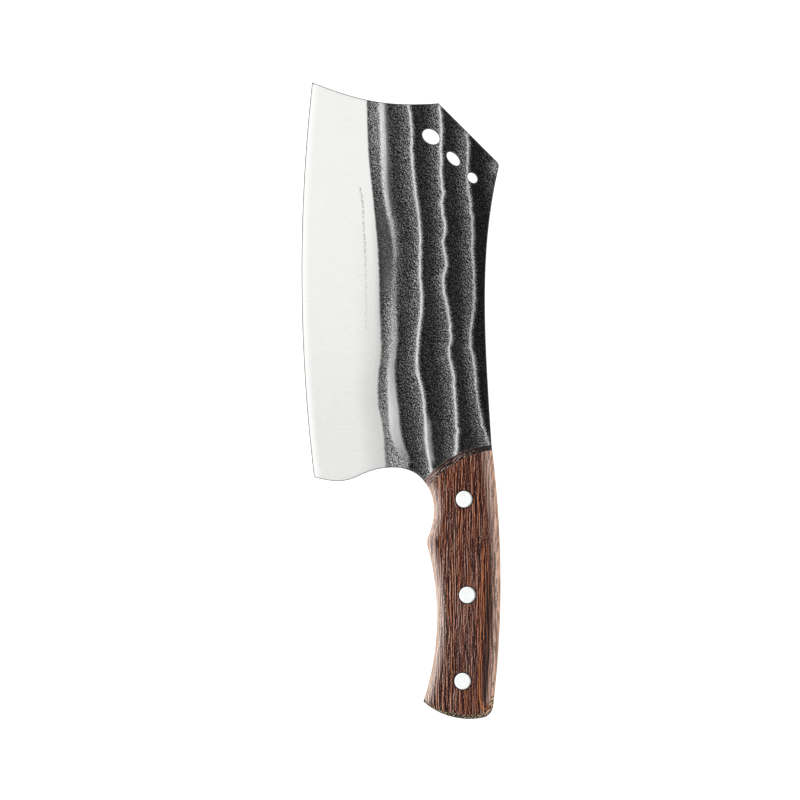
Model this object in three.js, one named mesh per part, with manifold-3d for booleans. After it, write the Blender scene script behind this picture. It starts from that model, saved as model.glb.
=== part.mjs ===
// Meat cleaver: a forged bone cleaver whose full tang runs between two wooden scales, which three
// cutler's rivets clamp together over a thin sheet of epoxy on each side of the tang.
//
// Millimetres, +Z up. The cleaver lies on its right side: +Y runs from the butt to the tip, +X from the
// cutting edge to the spine, and Z through the thickness. The origin is on the surface under the middle
// of the whole outline.
import * as THREE from "three";
import { mergeVertices } from "three/addons/utils/BufferGeometryUtils.js";
import Module from "manifold-3d";

const wasm = await Module();
wasm.setup();

// ---------------------------------------------------------------- driving dimensions

const PLATE = 4; // thickness of the blade's cheeks and of the tang, forged from one plate
const GLUE = 0.2; // thickness of each sheet of epoxy
const SCALE = 8.8; // thickness of each wooden scale
const HANDLE = PLATE + 2 * (GLUE + SCALE);
const MIDDLE = HANDLE / 2; // height of the blade's middle plane above the surface

const EDGE_RADIUS = 800; // the cutting edge is one long belly
const GRIND_WIDTH = 35; // from the cutting edge to the line where the ground face meets the forged cheek
const HONE_WIDTH = 1.8; // the narrow sharpened bevel along the cutting edge
const HONE_HALF = 0.5; // half the thickness where the sharpened bevel starts
const EDGE_HALF = 0.1; // half the thickness of the cutting edge itself

const SCALE_EDGE_WIDTH = 4.2; // how far a scale's round edge reaches in from its outline
const SCALE_EDGE_HEIGHT = 5.5; // and how far it reaches down from its outer face

const RIVET_HEAD_RADIUS = 4;
const RIVET_HEAD_HEIGHT = 2;
const RIVET_TUBE_RADIUS = 2.5;
const RIVET_BORE_RADIUS = 1.6;
const RIVET_SHANK_RADIUS = 1.55;
const RIVET_END_GAP = 0.3; // what is left between the tube's mouth and the other half's head
const SHANK_STOP = 4; // height of the shank's end above the female half's outer face
const BORE_STOP = 3; // height of the bore's bottom, just under the shank's end
const HEAD_CLEARANCE = 0.05; // around a head in its counterbore
const TUBE_CLEARANCE = 0.1; // around a tube in its hole

const RIM_STEP = 5; // length of one straight facet round the handle
const BLADE_STEP = 2.5; // and round the blade
const ROUND_SEGMENTS = 32;

// Corners of the outline, seen from above.
const HEEL = new THREE.Vector2(-41.1, -34.8);
const CHOIL = new THREE.Vector2(10.8, -38.1); // where the scales' front meets the blade's underside
const BUMP = new THREE.Vector2(12.2, -67); // the swelling behind the index finger
const BUTT_BELLY = new THREE.Vector2(10.7, -142.1);
const SHOULDER = new THREE.Vector2(42.9, -21.2); // where the scales' front meets the spine
const SPUR = new THREE.Vector2(46.2, 109.4); // where the spine meets the clipped corner
const CLIP = new THREE.Vector2(17.9, 140); // where the clipped corner meets the front end
const TIP = new THREE.Vector2(-41.8, 150);

// Centres of the rivets, from the blade to the butt.
const RIVETS = [
  new THREE.Vector2(29.9, -46.7),
  new THREE.Vector2(31.4, -91.8),
  new THREE.Vector2(29.2, -132.4),
];

// The holes through the clipped corner, leaning along it: centre, half axes and lean in degrees.
const CORNER_HOLES = [
  { x: 14.3, y: 124.2, long: 4.4, short: 3.2, lean: -34 },
  { x: 24.8, y: 113.8, long: 3.9, short: 2.15, lean: -47 },
  { x: 33.8, y: 104.8, long: 2.7, short: 2, lean: -48 },
];

// ---------------------------------------------------------------- solids

// A three.js geometry as a manifold-3d solid, with the vertices that its faces share merged.
function solidOf(geometry) {
  const bare = geometry.clone();
  bare.deleteAttribute("normal");
  bare.deleteAttribute("uv");
  const merged = mergeVertices(bare, 1e-4);
  return new wasm.Manifold(
    new wasm.Mesh({
      numProp: 3,
      vertProperties: merged.attributes.position.array,
      triVerts: new Uint32Array(merged.index.array),
    }),
  );
}

// The other way: a solid as a flat-shaded three.js geometry.
function geometryOf(solid) {
  const { vertProperties, triVerts } = solid.getMesh();
  const geometry = new THREE.BufferGeometry();
  geometry.setAttribute("position", new THREE.BufferAttribute(vertProperties, 3));
  geometry.setIndex(new THREE.BufferAttribute(triVerts, 1));
  const flat = geometry.toNonIndexed();
  flat.computeVertexNormals();
  return flat;
}

// A solid of revolution about Z, from a closed profile of [radius, height] pairs.
function turned(profile, segments = ROUND_SEGMENTS) {
  const points = profile.map(([radius, height]) => new THREE.Vector2(radius, height));
  return new THREE.LatheGeometry(points, segments).rotateX(Math.PI / 2);
}

// A path as a polygon, with straight facets about as long as the step in place of its curves.
function faceted(path, step) {
  const points = path.curves.flatMap((curve) => {
    const fewest = curve.isLineCurve ? 1 : 3;
    const count = Math.max(fewest, Math.round(curve.getLength() / step));
    return curve.getSpacedPoints(count).slice(0, -1);
  });
  return new THREE.Shape(points);
}

function roundHole(centre, radius) {
  return new THREE.Path().absarc(centre.x, centre.y, radius, 0, 2 * Math.PI);
}

// ---------------------------------------------------------------- outlines

// The centre of the arc with the given radius that bulges to the left of the line from a to b.
function arcCentre(a, b, radius) {
  const half = b.clone().sub(a).multiplyScalar(0.5);
  const depth = Math.sqrt(radius ** 2 - half.lengthSq());
  const inwards = new THREE.Vector2(half.y, -half.x).setLength(depth);
  return a.clone().add(half).add(inwards);
}

const EDGE_CENTRE = arcCentre(HEEL, TIP, EDGE_RADIUS);

// Round the handle from the choil to the shoulder: finger groove, palm, butt and back.
function traceHandle(path) {
  path.bezierCurveTo(17.9, -46.7, 16.3, -56.8, BUMP.x, BUMP.y);
  path.bezierCurveTo(19.2, -91.8, 18.8, -118, BUTT_BELLY.x, BUTT_BELLY.y);
  path.bezierCurveTo(18.5, -149.3, 29.5, -151.5, 38.3, -149.8);
  path.quadraticCurveTo(43, -149, 43.7, -143.7);
  path.bezierCurveTo(48.6, -102.1, 48.1, -62.5, SHOULDER.x, SHOULDER.y);
}

// The whole plate: the blade with its tang.
function bladeOutline() {
  const handle = new THREE.Path().moveTo(CHOIL.x, CHOIL.y);
  traceHandle(handle);

  const blade = new THREE.Path().moveTo(SHOULDER.x, SHOULDER.y);
  blade.bezierCurveTo(40.2, 23.6, 36.2, 67.3, SPUR.x, SPUR.y);
  blade.quadraticCurveTo(46.6, 111.3, 45.3, 112.6);
  blade.lineTo(CLIP.x, CLIP.y);
  blade.bezierCurveTo(-6.9, 138.2, -19.8, 141.3, TIP.x, TIP.y);
  const from = TIP.clone().sub(EDGE_CENTRE).angle();
  const to = HEEL.clone().sub(EDGE_CENTRE).angle();
  blade.absarc(EDGE_CENTRE.x, EDGE_CENTRE.y, EDGE_RADIUS, from, to);
  blade.quadraticCurveTo(-41.2, -36.8, -38.7, -37);
  blade.bezierCurveTo(-21.6, -41.4, -21.3, -33.6, -7.3, -32.1);
  blade.bezierCurveTo(-0.6, -31.2, 6.8, -32.7, CHOIL.x, CHOIL.y);

  const outline = faceted(handle, RIM_STEP);
  const rest = faceted(blade, BLADE_STEP);
  return new THREE.Shape([...outline.getPoints(), ...rest.getPoints()]);
}

// A scale's outline: the handle, closed by the curved front where the wood ends on the blade.
function scaleOutline() {
  const path = new THREE.Path().moveTo(CHOIL.x, CHOIL.y);
  traceHandle(path);
  path.quadraticCurveTo(23, -23.6, CHOIL.x, CHOIL.y);
  return faceted(path, RIM_STEP);
}

// ---------------------------------------------------------------- pieces

// The ring that grinds one face of the blade, turned about the centre of the edge's arc.
function grindingRing(side) {
  const beyond = 3;
  const ring = turned(
    [
      [EDGE_RADIUS - GRIND_WIDTH, PLATE / 2],
      [EDGE_RADIUS - HONE_WIDTH, HONE_HALF],
      [EDGE_RADIUS, EDGE_HALF],
      [EDGE_RADIUS + beyond, EDGE_HALF],
      [EDGE_RADIUS + beyond, PLATE],
      [EDGE_RADIUS - GRIND_WIDTH, PLATE],
      [EDGE_RADIUS - GRIND_WIDTH, PLATE / 2],
    ],
    Math.round((2 * Math.PI * EDGE_RADIUS) / RIM_STEP),
  );
  if (side < 0) ring.rotateX(Math.PI);
  return ring.translate(EDGE_CENTRE.x, EDGE_CENTRE.y, 0);
}

function bladeGeometry() {
  const shape = bladeOutline();
  for (const hole of CORNER_HOLES) {
    const lean = THREE.MathUtils.degToRad(hole.lean);
    const path = new THREE.Path();
    path.absellipse(hole.x, hole.y, hole.long, hole.short, 0, 2 * Math.PI, false, lean);
    shape.holes.push(path);
  }
  for (const centre of RIVETS) {
    shape.holes.push(roundHole(centre, RIVET_TUBE_RADIUS + TUBE_CLEARANCE));
  }
  const plate = new THREE.ExtrudeGeometry(shape, {
    depth: PLATE,
    bevelEnabled: false,
    curveSegments: ROUND_SEGMENTS / 2,
  });
  plate.translate(0, 0, -PLATE / 2);
  const left = solidOf(grindingRing(1));
  const right = solidOf(grindingRing(-1));
  return geometryOf(solidOf(plate).subtract(left).subtract(right));
}

// One sheet of epoxy, on the left (+1) or right (-1) face of the tang.
function glueGeometry(side) {
  const shape = scaleOutline();
  for (const centre of RIVETS) {
    shape.holes.push(roundHole(centre, RIVET_TUBE_RADIUS + TUBE_CLEARANCE));
  }
  const sheet = new THREE.ExtrudeGeometry(shape, {
    depth: GLUE,
    bevelEnabled: false,
    curveSegments: ROUND_SEGMENTS / 2,
  });
  return sheet.translate(0, 0, side > 0 ? PLATE / 2 : -PLATE / 2 - GLUE);
}

// The hole that a rivet needs through a scale on the given side: a clear way for the tube and a
// counterbore for the head.
function rivetWay(side) {
  const outside = 1;
  const way = turned([
    [0, 0],
    [RIVET_TUBE_RADIUS + TUBE_CLEARANCE, 0],
    [RIVET_TUBE_RADIUS + TUBE_CLEARANCE, MIDDLE - RIVET_HEAD_HEIGHT],
    [RIVET_HEAD_RADIUS + HEAD_CLEARANCE, MIDDLE - RIVET_HEAD_HEIGHT],
    [RIVET_HEAD_RADIUS + HEAD_CLEARANCE, MIDDLE + outside],
    [0, MIDDLE + outside],
  ]);
  return side > 0 ? way : way.rotateX(Math.PI);
}

// One scale, cut from a block as thick as the whole handle with round edges on both faces.
function scaleGeometry(side) {
  const block = new THREE.ExtrudeGeometry(scaleOutline(), {
    depth: HANDLE - 2 * SCALE_EDGE_HEIGHT,
    bevelThickness: SCALE_EDGE_HEIGHT,
    bevelSize: SCALE_EDGE_WIDTH,
    bevelOffset: -SCALE_EDGE_WIDTH,
    bevelSegments: 5,
  });
  block.translate(0, 0, SCALE_EDGE_HEIGHT - MIDDLE);
  const room = 400;
  const kept = PLATE / 2 + GLUE;
  const away = new THREE.BoxGeometry(room, room, room);
  away.translate(0, 0, side * (kept - room / 2));
  let wood = solidOf(block).subtract(solidOf(away));
  for (const centre of RIVETS) {
    const way = rivetWay(side).translate(centre.x, centre.y, 0);
    wood = wood.subtract(solidOf(way));
  }
  return geometryOf(wood);
}

// The solid half of a cutler's rivet, whose head is flush with the left scale.
function maleRivetGeometry() {
  return turned([
    [0, SHANK_STOP - MIDDLE],
    [RIVET_SHANK_RADIUS, SHANK_STOP - MIDDLE],
    [RIVET_SHANK_RADIUS, MIDDLE - RIVET_HEAD_HEIGHT],
    [RIVET_HEAD_RADIUS, MIDDLE - RIVET_HEAD_HEIGHT],
    [RIVET_HEAD_RADIUS, MIDDLE],
    [0, MIDDLE],
  ]);
}

// The tubular half, whose head is flush with the right scale and whose tube passes through the tang.
function femaleRivetGeometry() {
  return turned([
    [0, -MIDDLE],
    [RIVET_HEAD_RADIUS, -MIDDLE],
    [RIVET_HEAD_RADIUS, RIVET_HEAD_HEIGHT - MIDDLE],
    [RIVET_TUBE_RADIUS, RIVET_HEAD_HEIGHT - MIDDLE],
    [RIVET_TUBE_RADIUS, MIDDLE - RIVET_HEAD_HEIGHT - RIVET_END_GAP],
    [RIVET_BORE_RADIUS, MIDDLE - RIVET_HEAD_HEIGHT - RIVET_END_GAP],
    [RIVET_BORE_RADIUS, BORE_STOP - MIDDLE],
    [0, BORE_STOP - MIDDLE],
  ]);
}

// ---------------------------------------------------------------- materials

const steel = new THREE.MeshStandardMaterial({ color: 0x4c4d50, roughness: 0.45, metalness: 1 });
const wood = new THREE.MeshStandardMaterial({ color: 0x4a261b, roughness: 0.5, metalness: 0 });
const epoxy = new THREE.MeshStandardMaterial({ color: 0x1b1512, roughness: 0.4, metalness: 0 });
const bright = new THREE.MeshStandardMaterial({ color: 0xd6d7d8, roughness: 0.3, metalness: 1 });

// ---------------------------------------------------------------- assembly

const cleaver = new THREE.Group();
cleaver.position.z = MIDDLE; // every piece is drawn about the blade's middle plane

function add(name, geometry, material, centre = new THREE.Vector2()) {
  const mesh = new THREE.Mesh(geometry, material);
  mesh.name = name;
  mesh.position.set(centre.x, centre.y, 0);
  cleaver.add(mesh);
}

add("blade_and_tang", bladeGeometry(), steel);
for (const [name, side] of [["left", 1], ["right", -1]]) {
  add(`${name}_epoxy_sheet`, glueGeometry(side), epoxy);
  add(`${name}_scale`, scaleGeometry(side), wood);
}
["front", "middle", "rear"].forEach((name, i) => {
  add(`${name}_rivet_male`, maleRivetGeometry(), bright, RIVETS[i]);
  add(`${name}_rivet_female`, femaleRivetGeometry(), bright, RIVETS[i]);
});

const part = new THREE.Group();
part.add(cleaver);

export default part;
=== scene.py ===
import functools
import math

import bpy
import numpy as np
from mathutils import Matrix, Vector
from mathutils.geometry import delaunay_2d_cdt


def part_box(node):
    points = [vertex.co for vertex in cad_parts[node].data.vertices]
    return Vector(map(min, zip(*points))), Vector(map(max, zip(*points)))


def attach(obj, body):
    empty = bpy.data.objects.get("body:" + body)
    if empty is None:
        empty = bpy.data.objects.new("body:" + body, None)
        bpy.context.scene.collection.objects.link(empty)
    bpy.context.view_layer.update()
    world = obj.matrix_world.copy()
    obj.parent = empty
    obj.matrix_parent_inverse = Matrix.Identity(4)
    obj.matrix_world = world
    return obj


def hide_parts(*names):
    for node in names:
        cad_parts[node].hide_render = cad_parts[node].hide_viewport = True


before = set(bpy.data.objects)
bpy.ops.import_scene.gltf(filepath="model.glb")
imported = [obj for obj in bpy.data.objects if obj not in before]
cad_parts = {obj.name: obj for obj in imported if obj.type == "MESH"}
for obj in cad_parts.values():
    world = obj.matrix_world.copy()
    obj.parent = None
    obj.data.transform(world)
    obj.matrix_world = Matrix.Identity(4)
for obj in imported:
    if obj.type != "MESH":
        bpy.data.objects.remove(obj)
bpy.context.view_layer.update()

# The looks of a forged meat cleaver, lying on its right side. Plan shapes are in millimetres, in the
# frame of the CAD model: x from the cutting edge to the spine, y from the butt to the front end of the
# blade, z through the thickness. Meshes are made in metres.
MM = 0.001


def box_mm(node):
    """The lowest and highest corner of a CAD node, in millimetres."""
    low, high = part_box(node)
    return np.array(low) / MM, np.array(high) / MM


# -------- sizes, from the frame

BLADE_LOW, BLADE_HIGH = box_mm("blade_and_tang")
SCALE_LOW, SCALE_HIGH = box_mm("left_scale")
MIDDLE = (BLADE_LOW[2] + BLADE_HIGH[2]) / 2
PLATE_HALF = (BLADE_HIGH[2] - BLADE_LOW[2]) / 2
SCALE_HALF = SCALE_HIGH[2] - MIDDLE  # from the middle plane to a scale's outer face
SCALE_SEAT = SCALE_LOW[2] - MIDDLE  # and to its inner face, on the epoxy

# Corners of the outline.
HEEL = (-41.1, -34.8)
CHOIL = (10.8, -38.1)
BUMP = (12.2, -67.0)
BUTT_BELLY = (10.7, -142.1)
SHOULDER = (42.9, -21.2)
SPUR = (46.2, 109.4)
CLIP = (17.9, 140.0)
TIP = (-41.8, 150.0)
EDGE_RADIUS = 800.0

# The holes through the clipped corner: centre, half axes and lean in degrees.
CORNER_HOLES = [
    (14.3, 124.2, 4.4, 3.2, -34),
    (24.8, 113.8, 3.9, 2.15, -47),
    (33.8, 104.8, 2.7, 2.0, -48),
]

RIVET_NAMES = ["front", "middle", "rear"]
RIVETS = [np.mean(box_mm(name + "_rivet_male"), axis=0)[:2] for name in RIVET_NAMES]
HEAD_LOW, HEAD_HIGH = box_mm("front_rivet_male")
HEAD_RADIUS = (HEAD_HIGH[0] - HEAD_LOW[0]) / 2

# -------- curves in the plan


def bezier(*controls, step):
    """Points along a Bézier curve, without its last one."""
    controls = np.array(controls, float)

    def at(t):
        level = [np.repeat(c[None], len(t), 0) for c in controls]
        while len(level) > 1:
            level = [a + (b - a) * t[:, None] for a, b in zip(level, level[1:])]
        return level[0]

    rough = at(np.linspace(0, 1, 60))
    lengths = np.concatenate([[0], np.hypot(*np.diff(rough, axis=0).T).cumsum()])
    count = max(2, round(lengths[-1] / step))
    even = np.linspace(0, lengths[-1], count, endpoint=False)
    return at(np.interp(even, lengths, np.linspace(0, 1, 60)))


def offset(point, dx, dy):
    return point[0] + dx, point[1] + dy


def edge_centre():
    """The centre of the cutting edge's arc, on the spine's side of the line from heel to tip."""
    heel, tip = np.array(HEEL), np.array(TIP)
    half = (tip - heel) / 2
    across = np.array([half[1], -half[0]]) / np.hypot(*half)
    return heel + half + across * math.sqrt(EDGE_RADIUS**2 - half @ half)


EDGE_CENTRE = edge_centre()


def handle_line(step):
    """From the choil round the finger groove, palm, butt and back to the shoulder."""
    bump_in, bump_out = offset(BUMP, 0.35, 1.4), offset(BUMP, 0.25, -1.4)
    return np.concatenate([
        bezier(CHOIL, (17.9, -46.7), (16.3, -56.8), bump_in, step=step),
        bezier(bump_in, offset(BUMP, -0.05, 0), bump_out, step=min(step, 0.4)),
        bezier(bump_out, (19.2, -91.8), (18.8, -118), BUTT_BELLY, step=step),
        bezier(BUTT_BELLY, (18.5, -149.3), (29.5, -151.5), (38.3, -149.8), step=step),
        bezier((38.3, -149.8), (43, -149), (43.7, -143.7), step=step),
        bezier((43.7, -143.7), (48.6, -102.1), (48.1, -62.5), SHOULDER, step=step),
    ])


def blade_line(step):
    """From the shoulder round the spine, clipped corner, front end, cutting edge and heel to the choil."""
    angles = [math.atan2(p[1] - EDGE_CENTRE[1], p[0] - EDGE_CENTRE[0]) % math.tau for p in (TIP, HEEL)]
    count = round(EDGE_RADIUS * (angles[1] - angles[0]) / step)
    turns = np.linspace(*angles, count, endpoint=False)
    edge = EDGE_CENTRE + EDGE_RADIUS * np.stack([np.cos(turns), np.sin(turns)], 1)
    return np.concatenate([
        bezier(SHOULDER, (40.2, 23.6), (36.2, 67.3), SPUR, step=step),
        bezier(SPUR, (46.6, 111.3), (45.3, 112.6), step=min(step, 0.4)),
        bezier((45.3, 112.6), CLIP, step=step),
        bezier(CLIP, (-6.9, 138.2), (-19.8, 141.3), TIP, step=step),
        edge,
        bezier(HEEL, (-41.2, -36.8), (-38.7, -37), step=min(step, 0.4)),
        bezier((-38.7, -37), (-21.6, -41.4), (-21.3, -33.6), (-7.3, -32.1), step=step),
        bezier((-7.3, -32.1), (-0.6, -31.2), (6.8, -32.7), CHOIL, step=step),
    ])


def front_line(step):
    """Where the scales end on the blade, from the shoulder to the choil."""
    return bezier(SHOULDER, (23, -23.6), CHOIL, step=step)


def ellipse(x, y, long, short, lean, count):
    turns = np.linspace(0, math.tau, count, endpoint=False)
    c, s = math.cos(math.radians(lean)), math.sin(math.radians(lean))
    u, v = long * np.cos(turns), short * np.sin(turns)
    return np.stack([x + u * c - v * s, y + u * s + v * c], 1)


def circle(centre, radius, count=64):
    return ellipse(centre[0], centre[1], radius, radius, 0, count)


def through(points):
    """x as a smooth function of y, through (x, y) points in order from the handle to the front end."""
    xs, ys = np.array(points, float).T
    slopes = np.gradient(xs, ys)

    def at(y):
        i = np.clip(np.searchsorted(ys, y) - 1, 0, len(ys) - 2)
        span = ys[i + 1] - ys[i]
        t = np.clip((y - ys[i]) / span, 0, 1)
        start = xs[i] * (1 + 2 * t) * (1 - t) ** 2 + slopes[i] * span * t * (1 - t) ** 2
        end = xs[i + 1] * t * t * (3 - 2 * t) - slopes[i + 1] * span * t * t * (1 - t)
        return start + end

    return at


# -------- the forged face

# Where the ground face meets the forged cheek.
GRIND = through([(-7, -33), (-8.1, -15), (-10.7, 1), (-10.3, 12), (-9.4, 19), (-9.8, 42), (-10.7, 70),
                 (-12.8, 93), (-15.2, 117), (-16.0, 142)])

# The crests left between the hammered hollows, from the grind line to the spine.
CRESTS = [
    through([(0.6, -33), (-0.8, -26), (-1.9, -22), (-3.5, -18), (-4.7, -13), (-5.1, -5), (-5.6, 15),
             (-3.8, 27), (-3.9, 43), (-2.9, 66), (-3.1, 75), (-5.8, 89), (-7.6, 99), (-8.6, 114),
             (-9.1, 128), (-9.8, 141)]),
    through([(14.4, -33), (12.6, -22), (11.5, -8), (10.4, 3), (7.9, 14), (8.3, 30), (10, 47), (9.1, 60),
             (9.3, 76), (8.6, 87), (6.6, 101), (5.3, 115), (4.9, 131), (3.4, 141)]),
    through([(26, -27), (26.6, -17), (25.9, -4), (25, 11), (22.9, 24), (23.7, 30), (22.6, 41), (20.2, 55),
             (21.4, 65.5), (20, 75), (20.9, 80), (19.6, 91), (19.9, 99), (19.2, 107), (19.1, 130),
             (18.6, 141)]),
    through([(42, -22), (38.5, -11), (36, 2), (35.1, 14), (32.8, 29), (34.5, 45), (34.5, 62), (33.7, 70),
             (34, 78), (32.8, 93), (31.4, 105), (31.7, 116), (31.3, 130)]),
]

# The first crest is ground flat: how wide, how bright, and how far its brightness fades towards the spine,
# partly its polish and partly a painted highlight.
LAND_WIDTH = through([(3.2, -33), (4.0, -26), (3.4, -22), (4.0, -17), (4.1, -12), (3.0, 5), (2.2, 18),
                      (1.9, 30), (1.7, 43), (1.1, 55), (0.9, 78), (0.9, 92), (1.5, 108), (1.7, 141)])
LAND_TONE = through([(0.5, -33), (0.58, -27), (0.72, -21), (0.78, -15), (0.77, 5), (0.7, 20), (0.62, 38),
                     (0.5, 52), (0.6, 72), (0.76, 92), (0.82, 141)])
LAND_FADE = through([(1.2, -33), (1.5, 5), (1.5, 15), (1.8, 38), (3.0, 55), (3.2, 78), (3.2, 95),
                     (2.6, 141)])

# How bright the strip between the grind line and the first crest is.
FIRST_TONE = through([(0.48, -33), (0.46, -10), (0.35, 5), (0.33, 15), (0.28, 30), (0.24, 45), (0.26, 60),
                      (0.3, 80), (0.31, 95), (0.36, 112), (0.38, 141)])

# And how much brighter it grows towards the first crest: painted light on the slope that faces the light.
FIRST_RISE = through([(0.06, -33), (0.06, 0), (0.15, 12), (0.32, 25), (0.3, 38), (0.2, 50), (0.08, 65),
                      (0.08, 141)])

# The other strips: how bright their hollows are, and the slopes up to their next crest, lighter partly from
# polish and partly from painted light where they face the light.
HOLLOW_TONES = [0.22, 0.17, 0.155, 0.12]
SLOPE_TONES = [0.4, 0.37, 0.36, 0.28]

# How bright the steel is at distances from a crest, to its right and to its left: the crest's own polish,
# with a painted highlight and painted light spreading from it.
CREST_RIGHT = [(0, 0.88), (0.5, 0.74), (1.0, 0.46), (1.5, 0.28), (2.2, 0.17), (3.0, 0)]
CREST_LEFT = [(0, 0.88), (0.5, 0.68), (1.0, 0.48), (2.0, 0.34), (3.5, 0)]
LAST_CREST = 0.8  # share of that on the last crest, which is less bright than the others

# The first crest's glow to its left, a painted highlight on the slope that faces the light, as a share of
# its own brightness.
LAND_LEFT = [(0, 1.0), (0.5, 0.9), (1.1, 0.65), (2.0, 0.4), (3.2, 0.0)]

# Where a faint row of pits is left in the ground face.
PIT_LINE = [(-16.4, 33), (-16.4, 57), (-16.8, 71), (-17.4, 81), (-18.4, 96), (-19.4, 100)]

WORN_TONE = 0.78  # brightness of the patch on the second crest that is rubbed smooth
SPUR_TONE = 0.42  # and of the brighter patch round the corner where the spine meets the clipped corner
HOLLOW = 0.42  # depth of the hollows
HOLLOW_FLOOR = 0.24  # how far across a hollow its floor lies, from the crest on the edge's side
LAST_WIDTH = 14  # how wide the hollow beyond the last crest would be if the spine didn't end it
FIRST_DEPTH = 0.3  # depth of the strip before the first crest, as a share of a hollow's
JAGS = [0.15, 0.2, 0.45, 0.35]  # how far each crest wanders from its line
HONE_WIDTH = 1.8  # the narrow sharpened bevel along the cutting edge
HONE_HALF = 0.5  # half the thickness where that bevel starts
EDGE_HALF = 0.1  # and half the thickness of the cutting edge itself
RIM = 0.35  # how far the blade's outline is eased
FACE_SEED = 1  # both faces share it, so they are alike
TANG_TONE = 0.66


def smooth(value, low, high):
    """0 at low and beyond, 1 at high and beyond, with a soft step between; low may be above high."""
    t = np.clip((value - low) / (high - low), 0, 1)
    return t * t * (3 - 2 * t)


class Ripple:
    """Seeded, smooth irregularity over the plan, from waves in random directions, between -1 and 1."""

    def __init__(self, seed, length, count=24):
        random = np.random.default_rng(seed)
        angles = random.uniform(0, math.tau, count)
        sizes = math.tau / (length * random.uniform(0.6, 1.6, count))
        self.waves = np.stack([np.cos(angles) * sizes, np.sin(angles) * sizes])
        self.phases = random.uniform(0, math.tau, count)

    def __call__(self, points):
        return np.sin(points @ self.waves + self.phases).sum(1) / math.sqrt(2 * len(self.phases)) / 1.5


def crest_lines(y, jag):
    """x of each crest at each y, with the small jags of hand forging."""
    lines = [line(y) for line in CRESTS]
    return [x + amount * wave(np.stack([np.full_like(y, 50.0 * i), y], 1))
            for i, (x, amount, wave) in enumerate(zip(lines, JAGS, jag))]


def edge_distance(points):
    return EDGE_RADIUS - np.hypot(*(points - EDGE_CENTRE).T)


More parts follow.
